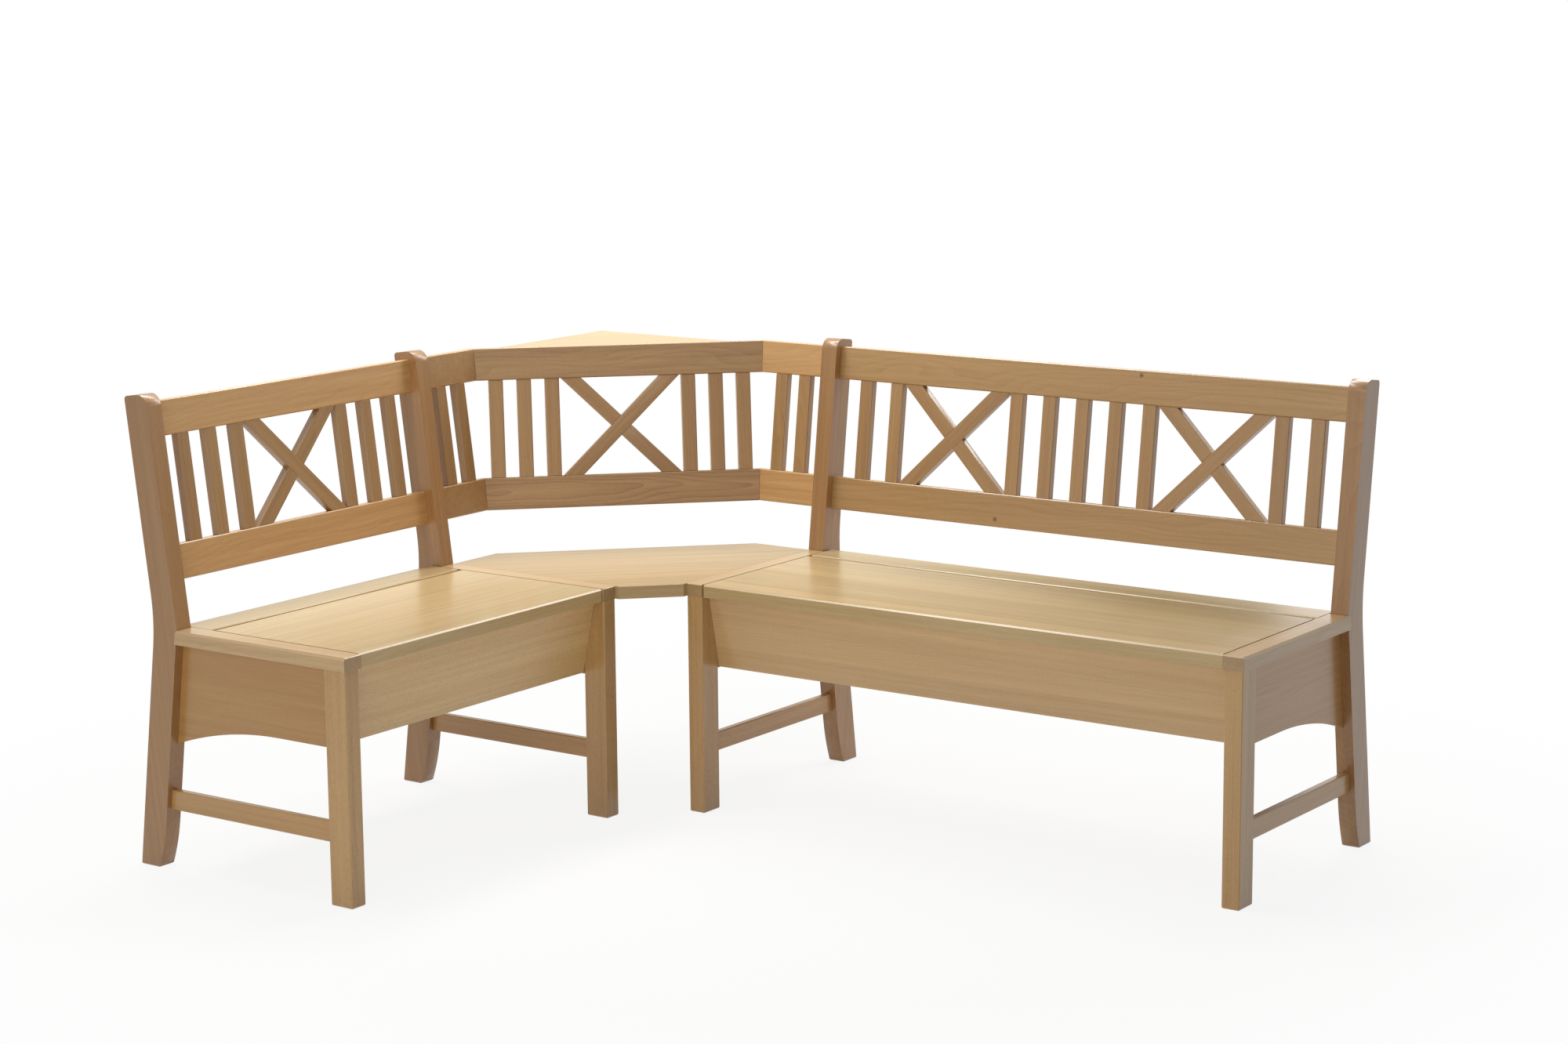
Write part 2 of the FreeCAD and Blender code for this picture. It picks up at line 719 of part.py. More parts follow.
def bench(end, groups):
    """All pieces of one chest bench that starts at the corner unit and ends at end."""
    inner_x = corner_width
    outer_x = end - post_width
    bay_start = inner_x + post_width
    bay_end = outer_x
    inner_panel_x = bay_start - panel_thickness
    outer_panel_x = bay_end
    cap_outer_start = outer_x - cap_inner_overhang
    lid_start = bay_start + lid_side_gap
    lid_end = cap_outer_start - lid_side_gap
    slats, bays = slat_layout(bay_start, bay_end, groups)
    pieces = {}
    places = (("inner", inner_x, inner_panel_x, True), ("outer", outer_x, outer_panel_x, False))
    for name, x, panel_x, corner_side in places:
        mortises = post_mortises(x, corner_side)
        mortises.append(panel_tongue(panel_x, True, joint_clearance))
        pieces[name + "_rear_post"] = rear_post(x, mortises)
        leg_cuts = [panel_tongue(panel_x, False, joint_clearance), stretcher_tenon(x, joint_clearance)]
        pieces[name + "_front_leg"] = front_leg(x, leg_cuts)
        pieces[name + "_side_panel"] = side_panel(panel_x)
        pieces[name + "_stretcher"] = stretcher(x)
    pieces["inner_seat_cap"] = seat_cap(inner_x, bay_start, seat_front_depth, inner_x, False)
    pieces["outer_seat_cap"] = seat_cap(cap_outer_start, end + cap_outer_overhang,
                                        cap_front_depth, outer_x, True)
    pieces["front_panel"] = front_panel(bay_start, bay_end)
    pieces["rear_panel"] = board(bay_start, bay_end, rear_panel_depth,
                                 rear_panel_depth + rear_panel_thickness,
                                 front_panel_bottom_height, cap_bottom)
    pieces["floor_cleats"] = floor_cleats(bay_start, bay_end)
    pieces["chest_floor"] = chest_floor(bay_start, bay_end)
    pieces["rear_strip"] = rear_strip(bay_start + strip_end_gap, cap_outer_start - strip_end_gap)
    pieces["lid"] = seat_lid(lid_start, lid_end)
    pieces["lid_battens"] = lid_battens(lid_start, lid_end)
    pieces["lid_screws"] = Part.makeCompound([screw(c) for c in screw_centres(lid_start, lid_end)])
    for name, rise in (("lower_rail", lower_rail_rise), ("top_rail", top_rail_bottom)):
        rail = plain_rail(bay_start, bay_end, rise)
        rail = rail.fuse(rail_tenon(bay_start, False, rise, 0))
        rail = rail.fuse(rail_tenon(bay_end, True, rise, 0))
        rail = cut_rail_mortises(rail, slats, bays, name == "top_rail")
        pieces[name] = lean(rail)
    pieces["slats"] = Part.makeCompound([lean(slat(centre)) for centre in slats])
    pieces["front_cross_bars"] = Part.makeCompound([lean(cross_bar(centre, True)) for centre in bays])
    pieces["rear_cross_bars"] = Part.makeCompound([lean(cross_bar(centre, False)) for centre in bays])
    loose = {"pins": pivot_pins(lid_start, lid_end), "washers": pivot_washers(lid_start, lid_end)}
    return pieces, loose


def mirrored(shape):
    """The same piece on the other side of the corner's diagonal."""
    return shape.mirror(FreeCAD.Vector(0, 0, 0), FreeCAD.Vector(1, 1, 0))


def mitre_block():
    """Everything on the diagonal's side of the upright mitre plane."""
    block = Part.makeBox(far, 2 * far, 2 * far, FreeCAD.Vector(-far, -far, -far))
    block.rotate(FreeCAD.Vector(0, 0, 0), FreeCAD.Vector(0, 0, 1), 22.5)
    block.translate(FreeCAD.Vector(mitre_start, 0, 0))
    return block


def to_diagonal(shape):
    """Turn a leaning backrest piece to face the room across the corner."""
    shape.rotate(FreeCAD.Vector(0, 0, 0), FreeCAD.Vector(0, 0, 1), 45)
    step = corner_wall_offset / math.sqrt(2)
    shape.translate(FreeCAD.Vector(step, -step, 0))
    return shape


def corner_backrest():
    """Three-sided backrest of the corner, mitred where the sides meet."""
    block = mitre_block()
    other_block = mirrored(block)
    step = slat_width + corner_slat_gap
    side_first = corner_width - corner_end_gap - slat_width / 2
    side_centres = [side_first - step * i for i in range(corner_end_slats)]
    first = cross_bay_width / 2 + slat_width / 2
    middle_centres = []
    for i in range(corner_middle_slats):
        middle_centres.append(first + step * i)
        middle_centres.append(-first - step * i)
    pieces = {}
    for name, rise in (("lower", lower_rail_rise), ("top", top_rail_bottom)):
        at_top = name == "top"
        side = plain_rail(mitre_start / 2, corner_width, rise)
        side = side.fuse(rail_tenon(corner_width, True, rise, 0))
        side = lean(cut_rail_mortises(side, side_centres, [], at_top)).cut(block)
        pieces["corner_short_%s_rails" % name] = Part.makeCompound([side, mirrored(side)])
        middle = plain_rail(-corner_width, corner_width, rise)
        middle = to_diagonal(lean(cut_rail_mortises(middle, middle_centres, [0], at_top)))
        pieces["corner_diagonal_%s_rail" % name] = middle.common(block).common(other_block)
    side_slats = [lean(slat(centre)) for centre in side_centres]
    slats = side_slats + [mirrored(piece) for piece in side_slats]
    slats += [to_diagonal(lean(slat(centre))) for centre in middle_centres]
    pieces["corner_slats"] = Part.makeCompound(slats)
    pieces["corner_front_cross_bar"] = to_diagonal(lean(cross_bar(0, True)))
    pieces["corner_rear_cross_bar"] = to_diagonal(lean(cross_bar(0, False)))
    return pieces


def corner_seat():
    """Seat board of the corner: cut corners to the backrest and to the room."""
    back = post_front_depth(seat_height) - corner_seat_tuck
    turn = mitre_start + mitre_slope * back
    nose = seat_front_depth + corner_seat_nose
    points = [
        FreeCAD.Vector(corner_width, -back, cap_bottom),
        FreeCAD.Vector(turn, -back, cap_bottom),
        FreeCAD.Vector(back, -turn, cap_bottom),
        FreeCAD.Vector(back, -corner_width, cap_bottom),
        FreeCAD.Vector(nose, -corner_width, cap_bottom),
        FreeCAD.Vector(corner_width, -nose, cap_bottom),
    ]
    face = Part.Face(Part.makePolygon(points + [points[0]]))
    seat = face.extrude(FreeCAD.Vector(0, 0, cap_thickness))
    inside = corner_width - pick_tolerance
    return bevel(seat, edge_bevel, lambda middle, way: middle.z > seat_height - pick_tolerance
                 and abs(middle.x) < inside and abs(middle.y) < inside)


def seat_bearer():
    """Bearer under one side of the corner seat, fixed to the side panel of a bench."""
    end = corner_width + post_width - panel_thickness
    return board(end - bearer_width, end, bearer_rear_depth, bearer_front_depth,
                 cap_bottom - bearer_height, cap_bottom)


def diagonal_slab(inset_start, inset_end):
    """Endless leaning slab along the diagonal backrest, between two insets."""
    slab = flat_box(-far, far, inset_start, inset_end, -far, far)
    return to_diagonal(lean(slab))


def corner_shelf():
    """Three-cornered shelf behind the diagonal backrest, and the cleat that carries it."""
    rail_back = rail_setback + rail_thickness
    bottom = leaning_point(rail_back, top_rail_top)[1] - shelf_drop - shelf_thickness
    near = shelf_wall_gap
    reach = shelf_corner_reach
    points = [
        FreeCAD.Vector(near, -near, bottom),
        FreeCAD.Vector(reach, -near, bottom),
        FreeCAD.Vector(reach, -reach, bottom),
        FreeCAD.Vector(near, -reach, bottom),
    ]
    face = Part.Face(Part.makePolygon(points + [points[0]]))
    shelf = face.extrude(FreeCAD.Vector(0, 0, shelf_thickness))
    shelf = shelf.common(diagonal_slab(rail_back, rail_back + far))
    half = shelf_cleat_length / 2
    cleat = flat_box(-half, half, rail_back, rail_back + 2 * shelf_cleat_size, 0, far)
    cleat = to_diagonal(lean(cleat))
    level = Part.makeBox(2 * far, 2 * far, shelf_cleat_size,
                         FreeCAD.Vector(-far, -far, bottom - shelf_cleat_size))
    keep = diagonal_slab(rail_back, rail_back + shelf_cleat_size)
    return shelf, cleat.common(level).common(keep)


def build():
    """Every node by name, still in the frame of the wall corner."""
    nodes = {}
    pins = []
    washers = []
    for name, end, groups in (("long", long_bench_end, long_slat_groups),
                              ("short", short_bench_end, short_slat_groups)):
        pieces, loose = bench(end, groups)
        for piece, shape in pieces.items():
            nodes[name + "_" + piece] = mirrored(shape) if name == "short" else shape
        for pin in loose["pins"]:
            pins.append(mirrored(pin) if name == "short" else pin)
        for washer in loose["washers"]:
            washers.append(mirrored(washer) if name == "short" else washer)
    nodes["lid_pivot_pins"] = Part.makeCompound(pins)
    nodes["lid_pivot_washers"] = Part.makeCompound(washers)
    nodes.update(corner_backrest())
    nodes["corner_seat"] = corner_seat()
    bearer = seat_bearer()
    nodes["corner_seat_bearers"] = Part.makeCompound([bearer, mirrored(bearer)])
    nodes["corner_shelf"], nodes["corner_shelf_cleat"] = corner_shelf()
    return nodes


def main():
    os.makedirs("parts", exist_ok=True)
    middle_x = (long_bench_end + cap_outer_overhang) / 2
    middle_y = -(short_bench_end + cap_outer_overhang) / 2
    for name, shape in build().items():
        shape.translate(FreeCAD.Vector(-middle_x, -middle_y, 0))
        shape.exportStep("parts/%s.step" % name)
        print(name, len(shape.Solids), shape.isValid(), round(shape.Volume / 1000))


main()
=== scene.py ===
import math

import bpy
from mathutils import Matrix, Vector

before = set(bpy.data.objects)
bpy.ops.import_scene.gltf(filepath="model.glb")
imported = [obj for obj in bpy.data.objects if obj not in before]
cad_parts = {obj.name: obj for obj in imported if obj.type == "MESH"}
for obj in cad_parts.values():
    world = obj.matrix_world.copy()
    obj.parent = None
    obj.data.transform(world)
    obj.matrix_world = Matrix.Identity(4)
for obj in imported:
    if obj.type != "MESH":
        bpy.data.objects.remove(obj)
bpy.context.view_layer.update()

# Rear posts
# Four S-shaped posts of solid beech that carry the seat and the leaning backrest. Each is sawn
# from one plank with the fibres running up the post, rounded at the top and eased along the edges.


def linear(code):
    """Linear colour of an sRGB hex code."""
    parts = [int(code[i:i + 2], 16) / 255 for i in (0, 2, 4)]
    return [p / 12.92 if p <= 0.04045 else ((p + 0.055) / 1.055) ** 2.4 for p in parts] + [1.0]


def add(tree, kind, inputs, **settings):
    """Adds one node, with its settings and with each input set or linked."""
    made = tree.nodes.new("ShaderNode" + kind)
    for name, value in settings.items():
        setattr(made, name, value)
    for name, value in inputs.items():
        if isinstance(value, bpy.types.NodeSocket):
            tree.links.new(value, made.inputs[name])
        else:
            made.inputs[name].default_value = value
    return made


def empty_material(name):
    """A new material and its node tree with nothing in it."""
    material = bpy.data.materials.new(name)
    material.use_nodes = True
    material.node_tree.nodes.clear()
    return material, material.node_tree


# Beech is a pale honey brown, even and close, with straight soft stripes and short brown ray flecks.
# The satin lacquer over it gives a smooth, low sheen, which mirrors bright surroundings where the
# eye meets a seat at a low angle.
def lacquered_beech(name, fibres, face, early, late,
                    staves=None, heart=None, figure=1.0, flecks=1.0, knots=()):
    """Beech under satin lacquer. Fibres run along one way and the wide face looks another way.

    early and late are the paler and browner wood, staves the width of glued strips and where
    one starts. A board sawn beside the heart of the log shows arched year rings: heart is a
    point of that heart, figure how strongly the rings show. flecks is how strongly the ray
    flecks show, and knots are the places of pin knots.
    """
    length = Vector(fibres).normalized()
    across = Vector(face).cross(length).normalized()
    turn = Matrix((length, across, length.cross(across)))
    material, tree = empty_material(name)

    def stretched(vector, along, wide, **settings):
        """Noise drawn out along the fibres, with the size of its spots in millimetres."""
        shrink = (1 / along, 1 / wide, 1 / wide)
        scaled = add(tree, "VectorMath", {0: vector, 1: shrink}, operation="MULTIPLY")
        return add(tree, "TexNoise", {"Vector": scaled.outputs[0], "Scale": 1.0, **settings}).outputs["Fac"]

    def sum_up(start, *shares):
        """start plus each value times its share."""
        total = start
        for value, share in shares:
            total = add(tree, "Math", {0: value, 1: share, 2: total}, operation="MULTIPLY_ADD").outputs[0]
        return total

    # Everything below is in millimetres: x along the fibres, y across the face, z through it.
    metre = 1000
    place = add(tree, "TexCoord", {})
    local = add(tree, "Mapping", {"Vector": place.outputs["Object"], "Rotation": turn.to_euler(),
                                  "Scale": (metre,) * 3}).outputs[0]
    split = add(tree, "SeparateXYZ", {"Vector": local})

    # Each solid, and each stave of a glued board, is cut from another part of the log. A piece of
    # one plank counts as a single stave, far wider than any piece here.
    one_plank = (10000, -5000)
    log_size = (9000, 1700, 900)
    width, start = staves or one_plank
    stave = add(tree, "Math", {0: split.outputs[1], 1: start}, operation="SUBTRACT")
    stave = add(tree, "Math", {0: stave.outputs[0], 1: width}, operation="DIVIDE")
    stave = add(tree, "Math", {0: stave.outputs[0]}, operation="FLOOR")
    owner = add(tree, "ObjectInfo", {})
    solid = add(tree, "NewGeometry", {})
    whose = add(tree, "CombineXYZ", {0: owner.outputs["Random"], 1: solid.outputs["Random Per Island"],
                                     2: stave.outputs[0]})
    dice = add(tree, "TexWhiteNoise", {"Vector": whose.outputs[0]}, noise_dimensions="3D")
    log = add(tree, "VectorMath", {0: dice.outputs["Color"], 1: log_size}, operation="MULTIPLY")
    wood = add(tree, "VectorMath", {0: local, 1: log.outputs[0]}, operation="ADD").outputs[0]

    # Year rings are tubes 4 mm apart round the heart of the log, which tapers and bends a little.
    # Each ring darkens slowly and ends sharply, as the wood of late summer does.
    ring_gap = 4.0
    ring_bend = 26.0
    log_taper = 0.018
    late_wood = 2.2
    far_heart = Vector((0, 1500, 900))
    middle = turn @ Vector(heart) * metre if heart else far_heart
    from_heart = add(tree, "VectorMath", {0: local, 1: middle}, operation="SUBTRACT").outputs[0]
    ring = add(tree, "VectorMath", {0: from_heart, 1: (log_taper, 1, 1)}, operation="MULTIPLY")
    ring = add(tree, "VectorMath", {0: ring.outputs[0]}, operation="LENGTH").outputs["Value"]
    bend = stretched(wood, 260, 60, Detail=1.0)
    ring = sum_up(ring, (bend, ring_bend), (split.outputs[0], log_taper))
    ring = add(tree, "Math", {0: ring, 1: ring_gap}, operation="DIVIDE")
    ring = add(tree, "Math", {0: ring.outputs[0]}, operation="FRACT")
    ring = add(tree, "Math", {0: ring.outputs[0], 1: late_wood}, operation="POWER").outputs[0]

    # Soft bands 40 mm and streaks 9 mm wide, and fibres 1.2 mm wide, about twice as coarse as real
    # ones, so that they show.
    band = stretched(wood, 900, 40, Detail=1.0)
    streak = stretched(wood, 420, 9, Detail=3.0, Roughness=0.55)
    fibre = stretched(wood, 45, 1.2, Detail=2.0, Roughness=0.6)

    # Ray flecks, the short brown dashes that mark beech, 5 mm long and 1 mm wide.
    fleck_least = 0.58
    fleck_most = 0.74
    fleck = stretched(wood, 5, 1.1, Detail=0.0)
    fleck = add(tree, "MapRange", {"Value": fleck, 1: fleck_least, 2: fleck_most}).outputs[0]

    # End grain drinks more lacquer, so it is darker, and its rings show as stripes.
    end_starts = 0.75
    end_full = 0.97
    rings_at_end = 0.6
    rings_on_face = 0.24 * figure
    end = add(tree, "VectorMath", {0: place.outputs["Normal"], 1: length}, operation="DOT_PRODUCT")
    end = add(tree, "Math", {0: end.outputs["Value"]}, operation="ABSOLUTE")
    end = add(tree, "MapRange", {"Value": end.outputs[0], 1: end_starts, 2: end_full}).outputs[0]
    lines = add(tree, "Math", {0: end, 1: rings_at_end, 2: rings_on_face},
                operation="MULTIPLY_ADD").outputs[0]

    # What each pattern adds to the brown. The noises lie about one half, so the sum starts below 0.
    brown_start = -0.75
    band_share = 0.65
    streak_share = 1.00
    fibre_share = 0.48
    fleck_share = 0.20 * flecks
    brown = sum_up(brown_start, (ring, lines), (band, band_share), (streak, streak_share),
                   (fibre, fibre_share), (fleck, fleck_share))
    brown = add(tree, "Clamp", {"Value": brown}).outputs[0]
    colour = add(tree, "Mix", {"Factor": brown, 6: linear(early), 7: linear(late)},
                 data_type="RGBA").outputs[2]

    # A pin knot is a dark dot 4 mm wide, which fades out over the next 4 mm.
    knot_core = 0.002
    knot_edge = 0.006
    knot_strength = 0.8
    knot_brown = "5A3A20"
    for knot in knots:
        away = add(tree, "VectorMath", {0: place.outputs["Object"], 1: knot}, operation="DISTANCE")
        dark = add(tree, "MapRange", {"Value": away.outputs["Value"], 1: knot_core, 2: knot_edge,
                                      3: knot_strength, 4: 0.0})
        colour = add(tree, "Mix", {"Factor": dark.outputs[0], 6: colour, 7: linear(knot_brown)},
                     data_type="RGBA").outputs[2]

    # No two planks are quite as pale as each other.
    darkest_plank = 0.93
    palest_plank = 1.06
    end_shade = 0.82
    tone = add(tree, "MapRange", {"Value": dice.outputs["Value"], 3: darkest_plank,
                                  4: palest_plank}).outputs[0]
    shade = add(tree, "MapRange", {"Value": end, 3: 1.0, 4: end_shade}).outputs[0]
    shade = add(tree, "Math", {0: shade, 1: tone}, operation="MULTIPLY").outputs[0]
    colour = add(tree, "HueSaturation", {"Color": colour, "Value": shade}).outputs[0]

    # The lacquer lies thinner over some streaks, and the fibres and rings leave shallow dips in it.
    smoothest = 0.40
    roughest = 0.52
    dip_depth = 0.00006
    rough = add(tree, "MapRange", {"Value": streak, 1: 0.2, 2: 0.8, 3: smoothest, 4: roughest}).outputs[0]
    height = add(tree, "Math", {0: fibre, 1: ring}, operation="ADD").outputs[0]
    bump = add(tree, "Bump", {"Height": height, "Strength": 0.35, "Distance": dip_depth}).outputs[0]
    skin = add(tree, "BsdfPrincipled", {
        "Base Color": colour, "Roughness": rough, "IOR": 1.5, "Normal": bump, "Specular IOR Level": 0.25,
        "Coat Weight": 1.0, "Coat Roughness": 0.25, "Coat IOR": 1.5,
    })
    add(tree, "OutputMaterial", {"Surface": skin.outputs[0]})
    return material


def dress(node, material, edge=0.0008):
    """Gives a piece its finish, and rounds its sharp edges as sanding and lacquer do."""
    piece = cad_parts[node]
    for slot in piece.material_slots:
        slot.material = material
    # Corners of neighbouring faces that lie in one spot become one point.
    weld = piece.modifiers.new("one_skin", "WELD")
    weld.merge_threshold = 0.00001
    # The facets of one flat face become one face, so that the light runs over it evenly.
    level = piece.modifiers.new("whole_flat_faces", "DECIMATE")
    level.decimate_type = "DISSOLVE"
    level.angle_limit = math.radians(0.5)
    ease = piece.modifiers.new("sanded_edges", "BEVEL")
    ease.width = edge
    ease.segments = 2
    ease.limit_method = "ANGLE"
    ease.angle_limit = math.radians(25)
    ease.harden_normals = True


# The backrests lean by the rake of the posts. Each of these ways runs up one backrest.
lean = math.radians(7.4)
long_up = (0, math.sin(lean), math.cos(lean))
short_up = (-math.sin(lean), 0, math.cos(lean))
diagonal_up = (-math.sin(lean) / math.sqrt(2), math.sin(lean) / math.sqrt(2), math.cos(lean))
honey = "B28855"
brown_honey = "976A3A"
long_post_beech = lacquered_beech("beech_satin_lacquer_long_posts", long_up, (1, 0, 0), honey, brown_honey)
short_post_beech = lacquered_beech("beech_satin_lacquer_short_posts", short_up, (0, 1, 0), honey, brown_honey)
for place in ("inner", "outer"):
    dress("long_%s_rear_post" % place, long_post_beech)
    dress("short_%s_rear_post" % place, short_post_beech)

# Front legs
# Four square legs of solid beech under the seat's front corners, glued up into the seat caps.
# Their pale faces show the short brown ray flecks of the wood.

leg_early = "CCA56D"
leg_late = "B0844D"
leg_beech = lacquered_beech("beech_satin_lacquer_legs", (0, 0, 1), (0, -1, 0), leg_early, leg_late,
                            flecks=2.0)
for side in ("long", "short"):
    for place in ("inner", "outer"):
        dress("%s_%s_front_leg" % (side, place), leg_beech)

# Stretchers
# Low beech bars from front leg to rear post at each end, with the fibres running along the bar.
# They are tenoned and glued into both.

stretcher_early = "CFA366"
stretcher_late = "B07F45"
long_stretcher_beech = lacquered_beech("beech_satin_lacquer_long_stretchers", (0, 1, 0), (1, 0, 0),
                                       stretcher_early, stretcher_late)
short_stretcher_beech = lacquered_beech("beech_satin_lacquer_short_stretchers", (1, 0, 0), (0, -1, 0),
                                        stretcher_early, stretcher_late)
for place in ("inner", "outer"):
    dress("long_%s_stretcher" % place, long_stretcher_beech)
    dress("short_%s_stretcher" % place, short_stretcher_beech)

# Side panels
# Boards that close the chest at each end, glued up from beech staves 130 mm wide, with a bowed
# lower edge and tongues let into leg and post. The long bench's show arched year rings.

side_early = "C69757"
side_late = "AD7B40"
side_staves = (130, 250)
long_side_beech = lacquered_beech("beech_stave_board_long_sides", (0, 1, 0), (1, 0, 0),
                                  side_early, side_late, staves=side_staves,
                                  heart=(0.86, 0.3, 0.36), figure=1.4)
short_side_beech = lacquered_beech("beech_stave_board_short_sides", (1, 0, 0), (0, -1, 0),
                                   side_early, side_late, staves=side_staves)
for place in ("inner", "outer"):
    dress("long_%s_side_panel" % place, long_side_beech)
    dress("short_%s_side_panel" % place, short_side_beech)

# Chest fronts and backs
# Long boards of beech staves 107 mm wide, glued edge to edge, which close the chest in front and
# behind. The front one leans in towards its lower edge. The short bench's show more ray flecks.

panel_early = "D9B682"
panel_late = "BD9562"
short_panel_early = "EBC88C"
short_panel_late = "CDA46A"
long_board_beech = lacquered_beech("beech_stave_board_long_chest", (1, 0, 0), (0, -1, 0),
                                   panel_early, panel_late, staves=(107, 325), figure=0.7)
short_board_beech = lacquered_beech("beech_stave_board_short_chest", (0, 1, 0), (1, 0, 0),
                                    short_panel_early, short_panel_late,
                                    staves=(107, 300), figure=0.7, flecks=2.5)
for side, board_beech in (("long", long_board_beech), ("short", short_board_beech)):
    for place in ("front", "rear"):
        dress("%s_%s_panel" % (side, place), board_beech)

# Chest floors and their cleats
# A thin board of beech staves lies loose in each chest. It rests on square beech cleats glued
# along the panels' foot.

for side, fibres in (("long", (1, 0, 0)), ("short", (0, 1, 0))):
    floor_beech = lacquered_beech("beech_stave_board_%s_floor" % side, fibres, (0, 0, 1),
                                  panel_early, panel_late, staves=(90, 0))
    cleat_beech = lacquered_beech("beech_satin_lacquer_%s_cleats" % side, fibres, (0, 0, 1),
                                  honey, brown_honey)
    dress(side + "_chest_floor", floor_beech)
    dress(side + "_floor_cleats", cleat_beech)

# Seat caps
# Flat beech rails over the chest's ends, from rear post to front leg, with bevelled fronts.
# Their end grain shows at the front as darker stripes.

cap_early = "D0AF7E"
cap_late = "B18D5C"
long_cap_beech = lacquered_beech("beech_satin_lacquer_long_caps", (0, 1, 0), (0, 0, 1), cap_early, cap_late)
short_cap_beech = lacquered_beech("beech_satin_lacquer_short_caps", (1, 0, 0), (0, 0, 1), cap_early, cap_late)
for place in ("inner", "outer"):
    dress("long_%s_seat_cap" % place, long_cap_beech)
    dress("short_%s_seat_cap" % place, short_cap_beech)

# Seat lids, the fixed strips behind them and the lids' battens
# Boards of beech staves 68 mm wide under a smooth lacquer, pale from above. Two battens are
# screwed under each lid to keep it flat.

seat_early = "CDB280"
seat_late = "AE905B"
for side, fibres, other in (("long", (1, 0, 0), (0, 1, 0)), ("short", (0, 1, 0), (1, 0, 0))):
    lid_beech = lacquered_beech("beech_stave_board_%s_seat" % side, fibres, (0, 0, 1), seat_early, seat_late,
                                staves=(68, 12), figure=0.6)
    batten_beech = lacquered_beech("beech_satin_lacquer_%s_battens" % side, other, (0, 0, 1),
                                   honey, brown_honey)
    dress(side + "_lid", lid_beech)
    dress(side + "_rear_strip", lid_beech)
    dress(side + "_lid_battens", batten_beech)

# Lid pivots and screws
# Bright zinc-plated steel: a pin and a spacer washer at each end of a lid, and countersunk screws
# through the battens. Zinc plate gives a cool, slightly cloudy shine, from crystals about 1 mm wide.

bright_zinc = "C9CCCF"
grey_zinc = "B4B8BD"
crystals_per_metre = 900.0
zinc, tree = empty_material("steel_bright_zinc_plated")
surface = add(tree, "TexCoord", {})
spangle = add(tree, "TexNoise", {"Vector": surface.outputs["Object"], "Scale": crystals_per_metre,
                                 "Detail": 2.0})
tint = add(tree, "Mix", {"Factor": spangle.outputs["Fac"], 6: linear(bright_zinc), 7: linear(grey_zinc)},
           data_type="RGBA")
dull = add(tree, "MapRange", {"Value": spangle.outputs["Fac"], 1: 0.3, 2: 0.7, 3: 0.28, 4: 0.42})
turned = add(tree, "Bump", {"Height": spangle.outputs["Fac"], "Strength": 0.2, "Distance": 0.00003})
plate = add(tree, "BsdfPrincipled", {"Base Color": tint.outputs[2], "Metallic": 1.0,
                                     "Roughness": dull.outputs[0], "Normal": turned.outputs[0]})
add(tree, "OutputMaterial", {"Surface": plate.outputs[0]})
for node in ("lid_pivot_pins", "lid_pivot_washers", "long_lid_screws", "short_lid_screws"):
    dress(node, zinc, edge=0.0002)

# Backrest rails
# Two leaning beech rails between the posts of each bench, with an eased, bright upper edge.
# Each of the long bench's rails has one small pin knot in its front.

pin_knots = ((0.432, 0.642, 0.846), (0.133, 0.603, 0.548))
long_rail_early = "BF9A65"
long_rail_late = "A37A47"
rail_early = "DAAE74"
rail_late = "B98A52"
long_rail_beech = lacquered_beech("beech_satin_lacquer_long_rails", (1, 0, 0), (0, -1, 0),
                                  long_rail_early, long_rail_late, knots=pin_knots)
short_rail_beech = lacquered_beech("beech_satin_lacquer_short_rails", (0, 1, 0), (1, 0, 0),
                                   rail_early, rail_late, figure=0.8)
for rise in ("lower", "top"):
    dress("long_%s_rail" % rise, long_rail_beech)
    dress("short_%s_rail" % rise, short_rail_beech)

# Slats and crossed bars
# Upright slats, and pairs of bars halved over each other into crosses, stub-tenoned into the rails.
# All are plain planed beech with the fibres along each bar.

slat_early = "B7915F"
slat_late = "9A7040"
# Millimetres that a bar runs along the rail, and climbs up the backrest.
bar_run = 199.3
bar_rise = 196.0


def bar_way(along, up, rising):
    """Direction of a cross bar that runs along the rail while it climbs the leaning backrest."""
    sign = 1 if rising else -1
    return Vector(along) * bar_run * sign + Vector(up) * bar_rise


for side, along, up, face in (("long", (1, 0, 0), long_up, (0, -1, 0)),
                              ("short", (0, -1, 0), short_up, (1, 0, 0))):
    slat_beech = lacquered_beech("beech_satin_lacquer_%s_slats" % side, up, face, slat_early, slat_late)
    dress(side + "_slats", slat_beech)
    for layer, rising in (("front", True), ("rear", False)):
        bar_beech = lacquered_beech("beech_satin_lacquer_%s_%s_bars" % (side, layer),
                                    bar_way(along, up, rising), face, slat_early, slat_late)
        dress("%s_%s_cross_bars" % (side, layer), bar_beech)

# Corner backrest
# Three-sided backrest over the corner seat: short rails at the sides and a wide pair across the
# diagonal, mitred where they meet. The lower diagonal rail is flat-sawn, with a lively figure.

